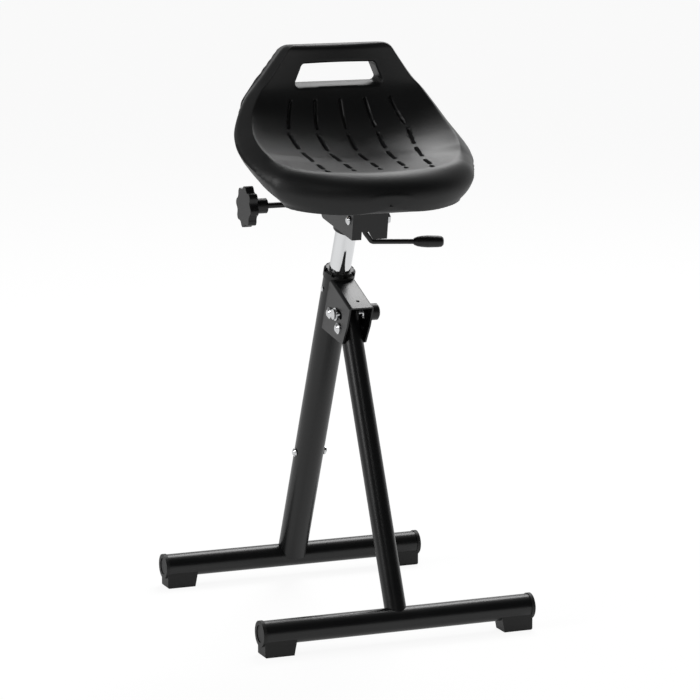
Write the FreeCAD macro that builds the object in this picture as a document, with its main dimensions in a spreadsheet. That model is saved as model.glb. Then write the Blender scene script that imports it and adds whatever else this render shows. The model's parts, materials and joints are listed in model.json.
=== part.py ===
import FreeCAD, Part
import math
import os
import Sketcher
from FreeCAD import Placement, Rotation, Vector

# Folding perch stool. Millimetres, +Z up, -Y is the sitter's side, +X is the sitter's left.
# The origin is on the floor, midway between the two foot tubes.

doc = FreeCAD.newDocument("perch_stool")

# Driving dimensions, one spreadsheet row each
SIZES = {
    # base
    "foot_spacing": 400.0,
    "foot_length": 400.0,
    "foot_radius": 16.85,
    "foot_wall": 2.6,
    "foot_height": 31.0,
    "column_lean_angle": 22.95,
    "column_radius": 21.2,
    "column_wall": 2.6,
    "column_length": 480.0,
    "leg_radius": 15.0,
    "leg_wall": 2.0,
    "cap_flange": 5.0,
    "cap_rim": 1.0,
    "cap_plug": 22.0,
    "pad_length": 46.0,
    "pad_width": 28.0,
    "pad_bevel": 6.0,
    # hinge bracket
    "hinge_below_mouth": 44.0,
    "hinge_forward": 66.0,
    "bracket_sheet": 2.5,
    "bracket_gap": 0.5,
    "bracket_top": 48.5,
    "bracket_bend": 4.0,
    "leg_top": 40.5,
    "hinge_bolt_radius": 4.0,
    "bolt_head_radius": 8.0,
    "bolt_head_height": 4.5,
    "stop_up": 28.0,
    "stop_radius": 6.0,
    "stop_gap": 0.3,
    "clamp_up": 20.5,
    "clamp_radius": 5.0,
    "fold_angle": 47.0,
    "clamp_knob_radius": 11.7,
    "clamp_knob_length": 12.5,
    # height column
    "bush_length": 80.0,
    "collar_height": 13.0,
    "collar_rim": 1.2,
    "lift_radius": 15.0,
    "lift_bore": 12.0,
    "lift_bottom": 202.0,
    "lift_top": 588.0,
    "lift_chamber": 226.0,
    "cone_radius": 14.0,
    "cone_length": 34.0,
    "rod_radius": 5.0,
    "rod_pin_up": 183.5,
    "rod_pin_radius": 4.0,
    "release_radius": 3.5,
    "release_proud": 7.0,
    # seat carrier
    "tilt_above_lift": 17.7,
    "tilt_forward": 58.4,
    "seat_slope_angle": 9.0,
    "carrier_width": 52.0,
    "carrier_sheet": 2.8,
    "carrier_low": 24.6,
    "carrier_high": 14.5,
    "carrier_front": 14.0,
    "carrier_rear": 102.0,
    "tilt_bolt_radius": 4.0,
    "clamp_back": 88.0,
    "clamp_rod_radius": 4.0,
    "tilt_angle": 5.0,
    "socket_wall": 4.0,
    "socket_length": 33.0,
    # release lever
    "lever_radius": 3.5,
    "lever_side": 10.0,
    "grip_radius": 8.4,
    "grip_length": 43.0,
    # tilt knob
    "knob_radius": 29.0,
    "knob_head": 12.0,
    "knob_hub_radius": 10.5,
    "knob_hub": 21.0,
    "knob_lobes": 8.0,
    "knob_reach": 147.0,
    # seat
    "plate_height": 25.5,
    "plate_sheet": 3.0,
    "plate_length": 146.0,
    "plate_width": 110.0,
    "insert_thickness": 9.0,
    "insert_length": 140.0,
    "insert_width": 160.0,
    "pan_height": 81.0,
    "pan_rear": 28.0,
    "back_curve": 105.0,
    "back_slope_angle": 78.0,
    "back_height": 212.0,
    "back_thickness": 30.0,
    "seat_width": 166.0,
    "handle_width": 126.0,
    "handle_height": 30.0,
    "handle_drop": 26.0,
    # clearances
    "running": 0.05,
    "loose_gap": 0.3,
}

sheet = doc.addObject("Spreadsheet::Sheet", "dims")
for row, (alias, amount) in enumerate(SIZES.items(), 1):
    sheet.set("A%d" % row, alias)
    sheet.set("B%d" % row, str(amount))
    sheet.setAlias("B%d" % row, alias)
doc.recompute()


class Dim:
    """An amount together with the spreadsheet expression that gives it."""

    def __init__(self, value, text):
        self.value = value
        self.text = text

    def __add__(self, other):
        return Dim(self.value + number(other), "(%s + %s)" % (self.text, wording(other)))

    def __sub__(self, other):
        return Dim(self.value - number(other), "(%s - %s)" % (self.text, wording(other)))

    def __rsub__(self, other):
        return Dim(number(other) - self.value, "(%s - %s)" % (wording(other), self.text))

    def __mul__(self, other):
        return Dim(self.value * number(other), "(%s * %s)" % (self.text, wording(other)))

    def __truediv__(self, other):
        return Dim(self.value / number(other), "(%s / %s)" % (self.text, wording(other)))

    def __neg__(self):
        return Dim(-self.value, "(0 - %s)" % self.text)

    __radd__ = __add__
    __rmul__ = __mul__


def number(amount):
    return amount.value if isinstance(amount, Dim) else float(amount)


def wording(amount):
    return amount.text if isinstance(amount, Dim) else repr(float(amount))


class Dims:
    """Every spreadsheet row as an attribute."""

    def __getattr__(self, alias):
        return Dim(float(sheet.get(alias)), "dims." + alias)


d = Dims()


def bind(thing, name, amount):
    setattr(thing, name, number(amount))
    if isinstance(amount, Dim):
        thing.setExpression(name, amount.text)


# Frames in which the sub-parts are drawn
X_TURN = Vector(1, 0, 0)


def leaning(y, z, angle):
    return Placement(Vector(0, y, z), Rotation(X_TURN, angle))


half_base = number(d.foot_spacing) / 2
column_frame = leaning(half_base, number(d.foot_height), number(d.column_lean_angle))
hinge_point = column_frame.multVec(Vector(0, -number(d.hinge_forward), number(d.column_length - d.hinge_below_mouth)))
leg_foot = Vector(0, -half_base, number(d.foot_height))
leg_run = hinge_point - leg_foot
leg_lean = math.degrees(math.atan2(leg_run.y, leg_run.z))
leg_frame = Placement(leg_foot, Rotation(X_TURN, -leg_lean))
leg_hinge = leg_run.Length
hinge_frame = Placement(hinge_point, Rotation(X_TURN, -leg_lean))
bracket_frame = Placement(hinge_point, Rotation(X_TURN, number(d.column_lean_angle)))
tilt_point = column_frame.multVec(Vector(0, -number(d.tilt_forward), number(d.lift_top + d.tilt_above_lift)))
seat_frame = Placement(tilt_point, Rotation(X_TURN, number(d.seat_slope_angle)))
lift_in_seat = seat_frame.inverse().multiply(column_frame)
level_frame = Placement()

nodes = []


def finish(thing, node, frame):
    """Names a finished sub-part and sets it in its frame."""
    thing.Label = node
    thing.Placement = frame.multiply(thing.Placement)
    nodes.append(thing)
    return thing


# Drawing helpers
TURNS = {
    "X": Rotation(Vector(0, 1, 0), 90),
    "Y": Rotation(Vector(1, 0, 0), -90),
    "Z": Rotation(),
}


def cylinder(radius, length, at=(0, 0, 0), along="Z"):
    """A cylinder that starts at a point and runs along an axis."""
    made = doc.addObject("Part::Cylinder", "round")
    bind(made, "Radius", radius)
    bind(made, "Height", length)
    made.Placement = Placement(Vector(*[number(place) for place in at]), TURNS[along])
    return made


def block(sides, centre):
    """A box with its centre at a point."""
    made = doc.addObject("Part::Box", "block")
    for name, side in zip(("Length", "Width", "Height"), sides):
        bind(made, name, side)
    corner = [number(place) - number(side) / 2 for place, side in zip(centre, sides)]
    made.Placement = Placement(Vector(*corner), Rotation())
    return made


def cut(base, *tools):
    for tool in tools:
        made = doc.addObject("Part::Cut", "cut")
        made.Base = base
        made.Tool = tool
        base = made
    return base


def fuse(*solids):
    made = doc.addObject("Part::MultiFuse", "joined")
    made.Shapes = list(solids)
    made.Refine = True
    return made


def new_body(name):
    return doc.addObject("PartDesign::Body", name)


def sketch_on(body, role, shift=0.0):
    sketch = body.newObject("Sketcher::SketchObject", "sketch")
    plane = next(part for part in body.Origin.OriginFeatures if part.Role == role)
    sketch.AttachmentSupport = (plane, [""])
    sketch.MapMode = "FlatFace"
    sketch.AttachmentOffset = Placement(Vector(0, 0, number(shift)), Rotation())
    return sketch


def hold(sketch, kind, geometry, point, amount):
    """Holds one coordinate of a sketch point at an amount from the origin."""
    if not isinstance(amount, Dim) and abs(amount) < 1e-9:
        axis = -2 if kind == "DistanceX" else -1
        sketch.addConstraint(Sketcher.Constraint("PointOnObject", geometry, point, axis))
        return
    rule = Sketcher.Constraint(kind, -1, 1, geometry, point, number(amount))
    place = sketch.addConstraint(rule)
    if isinstance(amount, Dim):
        sketch.setExpression("Constraints[%d]" % place, amount.text)


def polygon(sketch, points):
    """A closed outline of straight sides through the given points."""
    spots = [Vector(number(x), number(y), 0) for x, y in points]
    sides = [
        sketch.addGeometry(Part.LineSegment(a, b), False)
        for a, b in zip(spots, spots[1:] + spots[:1])
    ]
    for k, side in enumerate(sides):
        following = sides[(k + 1) % len(sides)]
        sketch.addConstraint(Sketcher.Constraint("Coincident", side, 2, following, 1))
        hold(sketch, "DistanceX", side, 1, points[k][0])
        hold(sketch, "DistanceY", side, 1, points[k][1])


def ring(sketch, radius, x=0.0, y=0.0):
    """A circle of a bound radius about a point."""
    centre = Vector(number(x), number(y), 0)
    made = sketch.addGeometry(Part.Circle(centre, Vector(0, 0, 1), number(radius)), False)
    hold(sketch, "DistanceX", made, 3, x)
    hold(sketch, "DistanceY", made, 3, y)
    place = sketch.addConstraint(Sketcher.Constraint("Radius", made, number(radius)))
    if isinstance(radius, Dim):
        sketch.setExpression("Constraints[%d]" % place, radius.text)


def curved_slot(sketch, x, y, reach, middle, sweep, half_width):
    """A slot that follows an arc of a reach about a point, both ends round."""
    centre = Vector(x, y, 0)
    up = Vector(0, 0, 1)
    low, high = math.radians(middle - sweep / 2), math.radians(middle + sweep / 2)
    for radius in (reach - half_width, reach + half_width):
        sketch.addGeometry(Part.ArcOfCircle(Part.Circle(centre, up, radius), low, high), False)
    for angle, start in ((high, high), (low, low + math.pi)):
        spot = centre + Vector(reach * math.cos(angle), reach * math.sin(angle), 0)
        cap = Part.Circle(spot, up, half_width)
        sketch.addGeometry(Part.ArcOfCircle(cap, start, start + math.pi), False)


def pad(body, sketch, length, symmetric=False, backward=False):
    made = body.newObject("PartDesign::Pad", "pad")
    made.Profile = sketch
    made.SideType = "Symmetric" if symmetric else "One side"
    bind(made, "Length", length)
    made.Reversed = backward
    return made


def pocket(body, sketch, length=None, symmetric=False, backward=False):
    """A pocket, right through where no length is given."""
    made = body.newObject("PartDesign::Pocket", "pocket")
    made.Profile = sketch
    made.SideType = "Symmetric" if symmetric else "One side"
    if length is None:
        made.Type = "ThroughAll"
    else:
        bind(made, "Length", length)
    made.Reversed = backward
    return made


def revolve(body, sketch, axis="V_Axis"):
    made = body.newObject("PartDesign::Revolution", "turned")
    made.Profile = sketch
    made.ReferenceAxis = (sketch, [axis])
    made.Angle = 360.0
    return made


def soften(body, base, radius, wanted):
    """Rounds the edges of a feature that pass a test on their centre points."""
    doc.recompute()
    names = [
        "Edge%d" % k
        for k, edge in enumerate(base.Shape.Edges, 1)
        if wanted(edge, edge.CenterOfMass)
    ]
    made = body.newObject("PartDesign::Fillet", "rounded")
    made.Base = (base, names)
    bind(made, "Radius", radius)
    return made


def turned_body(name, outline):
    """A body turned about its Z axis from an outline of radius and height pairs."""
    body = new_body(name)
    sketch = sketch_on(body, "XZ_Plane")
    polygon(sketch, outline)
    revolve(body, sketch)
    return body


def tube_body(name, radius, wall, length, start=0.0):
    """A round tube along Z."""
    body = new_body(name)
    sketch = sketch_on(body, "XY_Plane", start)
    ring(sketch, radius)
    ring(sketch, radius - wall)
    pad(body, sketch, length)
    return body


def bent_rod(points, radius, bend):
    """A round rod through straight runs joined by arcs of one bend radius."""
    spots = [Vector(*point) for point in points]
    edges = []
    start = spots[0]
    for before, corner, after in zip(spots, spots[1:], spots[2:]):
        inward = (before - corner).normalize()
        outward = (after - corner).normalize()
        half_turn = (math.pi - inward.getAngle(outward)) / 2
        trim = bend * math.tan(half_turn)
        first, last = corner + inward * trim, corner + outward * trim
        middle_line = (inward + outward).normalize()
        middle = corner + middle_line * (bend / math.cos(half_turn) - bend)
        edges.append(Part.LineSegment(start, first).toShape())
        edges.append(Part.Arc(first, middle, last).toShape())
        start = last
    edges.append(Part.LineSegment(start, spots[-1]).toShape())
    path = Part.Wire(edges)
    section = Part.Wire(Part.makeCircle(radius, spots[0], spots[1] - spots[0]))
    return path.makePipeShell([section], True, False)


def round_bolt(name, radius, head_radius, head_height, left, right):
    """A bolt along X, its rounded head outside the left face, its end past the right face."""
    body = new_body(name)
    sketch = sketch_on(body, "XY_Plane")
    top = left - number(head_height)
    brow = left - number(head_height) * 0.4
    polygon(
        sketch,
        [
            (left, head_radius),
            (brow, head_radius),
            (top, head_radius * 0.55),
            (top, 0.0),
            (right, 0.0),
            (right, radius),
            (left, radius),
        ],
    )
    revolve(body, sketch, "H_Axis")
    return body


def hex_nut(across, thickness, bore, at):
    """A hexagon nut on an X axis, starting at a point."""
    sides = doc.addObject("Part::Prism", "hexagon")
    sides.Polygon = 6
    bind(sides, "Circumradius", across / math.sqrt(3))
    bind(sides, "Height", thickness)
    sides.Placement = Placement(Vector(*at), TURNS["X"])
    return cut(sides, cylinder(bore, thickness, at, "X"))


# Base tubes
def foot_tube(node, y):
    length = d.foot_length - d.cap_flange * 2
    body = tube_body(node, d.foot_radius, d.foot_wall, length)
    place = Vector(-number(length) / 2, y, number(d.foot_height))
    return finish(body, node, Placement(place, TURNS["X"]))


foot_tube("rear_foot_tube", half_base)
foot_tube("front_foot_tube", -half_base)


def foot_cap(node, y, side):
    """End cap with its plug in the tube and its pad under it, drawn about the tube's axis."""
    inner_end = d.foot_length / 2 - d.cap_flange
    plug = cylinder(
        d.foot_radius - d.foot_wall - d.running, d.cap_plug, (inner_end - d.cap_plug, 0, 0), "X"
    )
    flange = cylinder(d.foot_radius + d.cap_rim, d.cap_flange, (inner_end, 0, 0), "X")
    recess = cylinder(d.foot_radius - 5.0, 1.2, (inner_end + d.cap_flange - 1.2, 0, 0), "X")
    body = new_body("pad")
    sketch = sketch_on(body, "XZ_Plane")
    outer = inner_end + d.cap_flange * 0.4
    sole = -d.foot_height
    heel = inner_end - d.pad_length
    outline = [
        (outer, 0.0),
        (outer, sole + 1.5),
        (outer - 1.5, sole),
        (heel + d.pad_bevel, sole),
        (heel, 0.0),
    ]
    polygon(sketch, outline)
    pad(body, sketch, d.pad_width, symmetric=True)
    room = cylinder(d.foot_radius, d.pad_length, (heel, 0, 0), "X")
    above = block((d.pad_length * 3, d.pad_width * 2, 30.0), (inner_end, 0, 15.0 - 5.0))
    saddle = cut(body, room, above)
    made = fuse(plug, cut(flange, recess), saddle)
    turn = Rotation() if side > 0 else Rotation(Vector(0, 0, 1), 180)
    return finish(made, node, Placement(Vector(0, y, number(d.foot_height)), turn))


for end, y in (("rear", half_base), ("front", -half_base)):
    foot_cap(end + "_left_foot_cap", y, 1)
    foot_cap(end + "_right_foot_cap", y, -1)

# Rear column tube, seated on the rear foot tube
long_foot = d.foot_length
rear_foot = cylinder(d.foot_radius, long_foot, (-number(long_foot) / 2, 0, 0), "X")
saddle_depth = 5.0
column = tube_body(
    "column", d.column_radius, d.column_wall, d.column_length - saddle_depth, saddle_depth
)
pin_hole = cylinder(
    d.rod_pin_radius + d.running, d.column_radius * 2.4, (-number(d.column_radius) * 1.2, 0, d.rod_pin_up), "X"
)
screw_up = d.column_length - 20.0
screw_start = -number(d.column_radius) - 1.0
screw_reach = d.column_wall + 1.0
screw_hole = cylinder(2.0, screw_reach, (screw_start, 0, screw_up), "X")
finish(cut(column, rear_foot, pin_hole, screw_hole), "column_tube", column_frame)

# Front leg tube, seated on the front foot tube, with the hinge sleeve across its top
front_foot = cylinder(d.foot_radius, long_foot, (-number(long_foot) / 2, 0, 0), "X")
leg = tube_body("leg", d.leg_radius, d.leg_wall, leg_hinge + number(d.leg_top))
sleeve_radius = d.hinge_bolt_radius + 3.0
across = -number(d.leg_radius) * 1.2
through = d.leg_radius * 2.4
sleeve_hole = cylinder(sleeve_radius, through, (across, 0, leg_hinge), "X")
clamp_hole = cylinder(d.clamp_radius, through, (across, 0, leg_hinge + number(d.clamp_up)), "X")
finish(cut(leg, front_foot, sleeve_hole, clamp_hole), "leg_tube", leg_frame)

sleeve_half = number(d.leg_radius)
sleeve = cut(
    cylinder(sleeve_radius, d.leg_radius * 2, (-sleeve_half, 0, leg_hinge), "X"),
    cylinder(d.hinge_bolt_radius + d.running, d.leg_radius * 2, (-sleeve_half, 0, leg_hinge), "X"),
)
finish(sleeve, "hinge_sleeve", leg_frame)

plug_inside = d.leg_radius - d.leg_wall - d.running
leg_end = leg_hinge + number(d.leg_top)
plug_depth = 10.0
plug_lip = 2.0
leg_plug = fuse(
    cylinder(plug_inside, plug_depth, (0, 0, leg_end - plug_depth)),
    cylinder(d.leg_radius, plug_lip, (0, 0, leg_end)),
)
finish(leg_plug, "leg_plug", leg_frame)

# Hinge bracket: a channel folded from sheet, welded to the column, drawn about the hinge axis
inner_half = d.leg_radius + d.bracket_gap
outer_half = inner_half + d.bracket_sheet
hinge_to_column = d.hinge_forward
lower_lip = 36.0
front_reach = 26.0
bracket = new_body("bracket")
side_view = sketch_on(bracket, "YZ_Plane")
polygon(
    side_view,
    [
        (hinge_to_column, d.bracket_top),
        (-front_reach, d.bracket_top),
        (-front_reach, 18.0),
        (5.0 - front_reach, -12.0),
        (8.0 - front_reach, -14.5),
        (hinge_to_column, -lower_lip),
    ],
)
outer_side = pad(bracket, side_view, outer_half * 2, symmetric=True)
inside = sketch_on(bracket, "YZ_Plane")
polygon(
    inside,
    [
        (hinge_to_column + 5.0, d.bracket_top - d.bracket_sheet),
        (-front_reach - 5.0, d.bracket_top - d.bracket_sheet),
        (-front_reach - 5.0, -lower_lip - 20.0),
        (hinge_to_column + 5.0, -lower_lip - 20.0),
    ],
)
hollow = pocket(bracket, inside, inner_half * 2, symmetric=True)
top_level = number(d.bracket_top)
edge_rounds = soften(
    bracket,
    hollow,
    d.bracket_bend,
    lambda edge, spot: abs(edge.BoundBox.YLength) > 60 and abs(spot.z - top_level) < 0.1,
)


def bracket_spot(up, forward=0.0):
    """A point beside the leg's line, in the bracket's own side view."""
    world = hinge_frame.multVec(Vector(0, -forward, up))
    local = bracket_frame.inverse().multVec(world)
    return local.y, local.z


stop_forward = -number(d.leg_radius + d.stop_radius + d.stop_gap)
stop_y, stop_z = bracket_spot(number(d.stop_up), stop_forward)
clamp_y, clamp_z = bracket_spot(number(d.clamp_up))
holes = sketch_on(bracket, "YZ_Plane")
ring(holes, d.hinge_bolt_radius + d.running)
ring(holes, d.hinge_bolt_radius + d.running, stop_y, stop_z)
fold = number(d.fold_angle)
slot_start = math.degrees(math.atan2(clamp_z, clamp_y))
slot_reach = number(d.clamp_up)
slot_half = number(d.clamp_radius + d.loose_gap)
curved_slot(holes, 0.0, 0.0, slot_reach, slot_start + fold / 2, fold + 1.0, slot_half)
pocket(bracket, holes, None, symmetric=True)
web_hole = sketch_on(bracket, "XY_Plane", d.bracket_top + 1.0)
ring(web_hole, 2.5, 0.0, -9.0)
pocket(bracket, web_hole, d.bracket_sheet + 2.0)
weld_cut = cylinder(d.column_radius, d.column_length, (0, hinge_to_column, d.column_length * -0.5))
collar_outer = d.column_radius + d.collar_rim
collar_low = d.hinge_below_mouth - d.loose_gap
collar_room = cylinder(
    collar_outer + d.loose_gap, d.collar_height * 2, (0, hinge_to_column, collar_low)
)
finish(cut(bracket, weld_cut, collar_room), "hinge_bracket", bracket_frame)

# Hinge and stop fasteners
nut_height = 6.5
nut_across = 13.0
left_face = -number(outer_half)
right_face = number(outer_half)
bolt_end = right_face + nut_height + 2.0


def bracket_bolt(name, y, z):
    bolt = round_bolt(
        name, d.hinge_bolt_radius, d.bolt_head_radius, d.bolt_head_height, left_face, bolt_end
    )
    nut = hex_nut(nut_across, nut_height, d.hinge_bolt_radius, (right_face, 0, 0))
    spot = bracket_frame.multVec(Vector(0, y, z))
    place = Placement(spot, bracket_frame.Rotation)
    finish(bolt, name + "_bolt", place)
    finish(nut, name + "_nut", place)


bracket_bolt("hinge", 0.0, 0.0)
bracket_bolt("stop", stop_y, stop_z)
stop_place = Placement(bracket_frame.multVec(Vector(0, stop_y, stop_z)), bracket_frame.Rotation)
spacer = cut(
    cylinder(d.stop_radius, inner_half * 2, (-number(inner_half), 0, 0), "X"),
    cylinder(d.hinge_bolt_radius, inner_half * 2, (-number(inner_half), 0, 0), "X"),
)
finish(spacer, "stop_spacer", stop_place)

# Folding clamp: a pin that rides in the bracket's slots, with a washer and a round knob
clamp_frame = Placement(hinge_frame.multVec(Vector(0, 0, number(d.clamp_up))), hinge_frame.Rotation)
washer_thickness = 1.6
washer_gap = d.loose_gap
neck = 12.0
knob_start = right_face + number(washer_gap) + washer_thickness
pin_left = left_face - number(washer_gap) - washer_thickness
clamp_head = cylinder(d.clamp_radius + 2.2, 3.5, (pin_left - 3.5, 0, 0), "X")
clamp_shank = cylinder(d.clamp_radius, knob_start + neck + 8.0 - pin_left, (pin_left, 0, 0), "X")
finish(fuse(clamp_head, clamp_shank), "clamp_pin", clamp_frame)
washer_radius = d.clamp_radius + 4.0
for node, start in (
    ("clamp_left_washer", pin_left),
    ("clamp_right_washer", right_face + number(washer_gap)),
):
    washer = cut(
        cylinder(washer_radius, washer_thickness, (start, 0, 0), "X"),
        cylinder(d.clamp_radius, washer_thickness, (start, 0, 0), "X"),
    )
    finish(washer, node, clamp_frame)

clamp_knob = new_body("clamp_knob")
knob_side = sketch_on(clamp_knob, "XY_Plane")
knob_end = knob_start + neck + number(d.clamp_knob_length)
rim = d.clamp_knob_radius
bore = d.clamp_radius + d.running
polygon(
    knob_side,
    [
        (knob_start + 0.2, bore),
        (knob_start + 0.2, rim * 0.62),
        (knob_start + neck, rim * 0.62),
        (knob_start + neck, rim),
        (knob_end - 2.0, rim),
        (knob_end, rim - 2.5),
        (knob_end, 0.0),
        (knob_end - 4.0, 0.0),
        (knob_end - 4.0, bore),
    ],
)
revolve(clamp_knob, knob_side, "H_Axis")
finish(clamp_knob, "clamp_knob", clamp_frame)

# Guide bush in the column's mouth, with a crown collar
bush_inner = d.lift_radius + d.running
bush_outer = d.column_radius - d.column_wall
bush = turned_body(
    "bush",
    [
        (bush_inner, d.column_length - d.bush_length),
        (bush_outer, d.column_length - d.bush_length),
        (bush_outer, d.column_length),
        (collar_outer, d.column_length),
        (collar_outer, d.column_length + d.collar_height - 3.0),
        (collar_outer - 3.0, d.column_length + d.collar_height),
        (bush_inner, d.column_length + d.collar_height),
    ],
)
notch = sketch_on(bush, "XY_Plane", d.column_length + d.collar_height - 5.0)
notch_half = 2.5
polygon(
    notch,
    [
        (d.lift_radius + 3.0, -notch_half),
        (d.column_radius * 2, -notch_half),
        (d.column_radius * 2, notch_half),
        (d.lift_radius + 3.0, notch_half),
    ],
)
first_notch = pocket(bush, notch, 12.0, backward=True)
crown = bush.newObject("PartDesign::PolarPattern", "crown")
crown.Originals = [first_notch]
crown.Axis = (notch, ["N_Axis"])
crown.Angle = 360.0
crown.Occurrences = 8
bush.Tip = crown
finish(bush, "guide_bush", column_frame)

screw = fuse(
    cylinder(2.0, screw_reach, (screw_start, 0, screw_up), "X"),
    cylinder(3.6, 1.2, (screw_start - 0.2, 0, screw_up), "X"),
)
finish(screw, "bush_screw", column_frame)

# Gas spring: rod pinned to the column, chromed cylinder that rides on it
chamber_top = d.lift_bottom + d.lift_chamber
piston_up = chamber_top - 14.0
rod = fuse(
    cylinder(d.rod_radius, piston_up - d.rod_pin_up, (0, 0, d.rod_pin_up)),
    cylinder(d.lift_bore - d.running, 8.0, (0, 0, piston_up)),
    block((16.0, 18.0, 17.0), (0, 0, d.rod_pin_up)),
)
rod_hole = cylinder(d.rod_pin_radius, 30.0, (-15.0, 0, d.rod_pin_up), "X")
finish(cut(rod, rod_hole), "piston_rod", column_frame)

pin_reach = number(d.column_radius)
pin_body = round_bolt("rod_pin", d.rod_pin_radius, 6.0, 4.0, -pin_reach, pin_reach + 5.0)
pin_place = Placement(column_frame.multVec(Vector(0, 0, number(d.rod_pin_up))), column_frame.Rotation)
finish(pin_body, "rod_pin", pin_place)
clip = cut(
    cylinder(6.5, 2.4, (pin_reach + 0.2, 0, 0), "X"),
    cylinder(d.rod_pin_radius, 2.4, (pin_reach + 0.2, 0, 0), "X"),
)
finish(clip, "rod_pin_clip", pin_place)

gland = 10.0
cone_start = d.lift_top - d.cone_length
lift = turned_body(
    "lift",
    [
        (d.rod_radius + d.running, d.lift_bottom),
        (d.lift_radius - 1.5, d.lift_bottom),
        (d.lift_radius, d.lift_bottom + 1.5),
        (d.lift_radius, cone_start),
        (d.cone_radius, d.lift_top - 1.0),
        (d.cone_radius - 1.0, d.lift_top),
        (d.release_radius + d.running, d.lift_top),
        (d.release_radius + d.running, chamber_top),
        (d.lift_bore, chamber_top),
        (d.lift_bore, d.lift_bottom + gland),
        (d.rod_radius + d.running, d.lift_bottom + gland),
    ],
)
finish(lift, "lift_cylinder", column_frame)

release_low = chamber_top + 6.0
release = cylinder(
    d.release_radius, d.lift_top + d.release_proud - release_low, (0, 0, release_low)
)
finish(release, "release_pin", column_frame)

# Seat carrier: a sheet channel closed at the front, drawn about the tilt axis
carrier_half = number(d.carrier_width) / 2
carrier = new_body("carrier")
carrier_side = sketch_on(carrier, "YZ_Plane")
polygon(
    carrier_side,
    [
        (-d.carrier_front, -d.carrier_low),
        (d.carrier_rear, -d.carrier_low),
        (d.carrier_rear, d.carrier_high),
        (-d.carrier_front, d.carrier_high),
    ],
)
pad(carrier, carrier_side, d.carrier_width, symmetric=True)
carrier_inside = sketch_on(carrier, "YZ_Plane")
polygon(
    carrier_inside,
    [
        (-d.carrier_front + d.carrier_sheet, -d.carrier_low - 5.0),
        (d.carrier_rear + 5.0, -d.carrier_low - 5.0),
        (d.carrier_rear + 5.0, d.carrier_high + 5.0),
        (-d.carrier_front + d.carrier_sheet, d.carrier_high + 5.0),
    ],
)
carrier_hollow = pocket(carrier, carrier_inside, d.carrier_width - d.carrier_sheet * 2, symmetric=True)
lever_gate = sketch_on(carrier, "XZ_Plane", d.carrier_front + 5.0)
polygon(
    lever_gate,
    [
        (-12.0, -d.carrier_low - 5.0),
        (8.0, -d.carrier_low - 5.0),
        (-1.5, -d.carrier_low + 11.0),
        (-12.0, -d.carrier_low + 11.0),
    ],
)
carrier_gate = pocket(carrier, lever_gate, d.carrier_sheet + 8.0)
carrier_round = soften(
    carrier,
    carrier_gate,
    9.0,
    lambda edge, spot: spot.y > number(d.carrier_rear) - 0.1
    and edge.BoundBox.XLength > 1.0
    and edge.BoundBox.ZLength < 0.1,
)
tilt = number(d.tilt_angle)
carrier_holes = sketch_on(carrier, "YZ_Plane")
ring(carrier_holes, d.tilt_bolt_radius + d.running)
curved_slot(
    carrier_holes, 0.0, 0.0, number(d.clamp_back), 0.0, tilt * 2 + 0.5,
    number(d.clamp_rod_radius + d.loose_gap),
)
pocket(carrier, carrier_holes, None, symmetric=True)
finish(carrier, "seat_carrier", seat_frame)

# Cone socket and the plate that carries it and the lever's bearing
socket_top = d.lift_top + 1.5
socket_low = socket_top - d.socket_length
socket_radius = d.lift_radius + d.running + d.socket_wall
socket = turned_body(
    "socket",
    [
        (d.lift_radius + d.running, socket_low),
        (socket_radius, socket_low),
        (socket_radius, socket_top),
        (d.cone_radius + d.running, socket_top),
        (d.cone_radius + d.running, d.lift_top - 1.0),
        (d.lift_radius + d.running, cone_start),
    ],
)
finish(socket, "cone_socket", column_frame)

inner_width = d.carrier_width - d.carrier_sheet * 2
plate_level = -d.carrier_low + d.carrier_sheet / 2
bearing_at = 37.0
floor_plate = block(
    (inner_width, d.carrier_rear - 6.0 - bearing_at, d.carrier_sheet),
    (0, (number(d.carrier_rear) - 6.0 + bearing_at) / 2, plate_level),
)
lever_z = number(d.lift_top + d.release_proud + d.loose_gap + d.lever_radius)
lever_spot = lift_in_seat.multVec(Vector(0, 0, lever_z))
bearing_height = lever_spot.z + 7.0 + number(d.carrier_low)
bearing = block(
    (d.carrier_width - 12.0, d.carrier_sheet, bearing_height),
    (0, bearing_at, bearing_height / 2 - number(d.carrier_low)),
)
bearing_hole = cylinder(
    d.lever_radius + d.running, 20.0, (d.lever_side, bearing_at - 10.0, lever_spot.z), "Y"
)
socket_room = cylinder(socket_radius, 120.0, (0, 0, 0))
socket_room.Placement = lift_in_seat.multiply(Placement(Vector(0, 0, number(socket_low) - 30.0), Rotation()))
finish(cut(fuse(floor_plate, bearing), socket_room, bearing_hole), "socket_plate", seat_frame)

# Release lever: a bent rod that turns in its bearing, its inner end above the release pin
finger_reach = 5.0
drop_at = 28.0
drop_to = -27.0
run_start = Vector(20.7, 26.0, -40.6)
run_end = Vector(116.5, 5.0, -39.5)
side = number(d.lever_side)
lever_points = [
    (-finger_reach, lever_spot.y, lever_spot.z),
    (side, lever_spot.y, lever_spot.z),
    (side, drop_at, lever_spot.z),
    (side, drop_at, drop_to),
    tuple(run_start),
    tuple(run_end),
]
lever = doc.addObject("Part::Feature", "lever")
lever.Shape = bent_rod(lever_points, number(d.lever_radius), 6.0)
finish(lever, "lever_rod", seat_frame)

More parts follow.
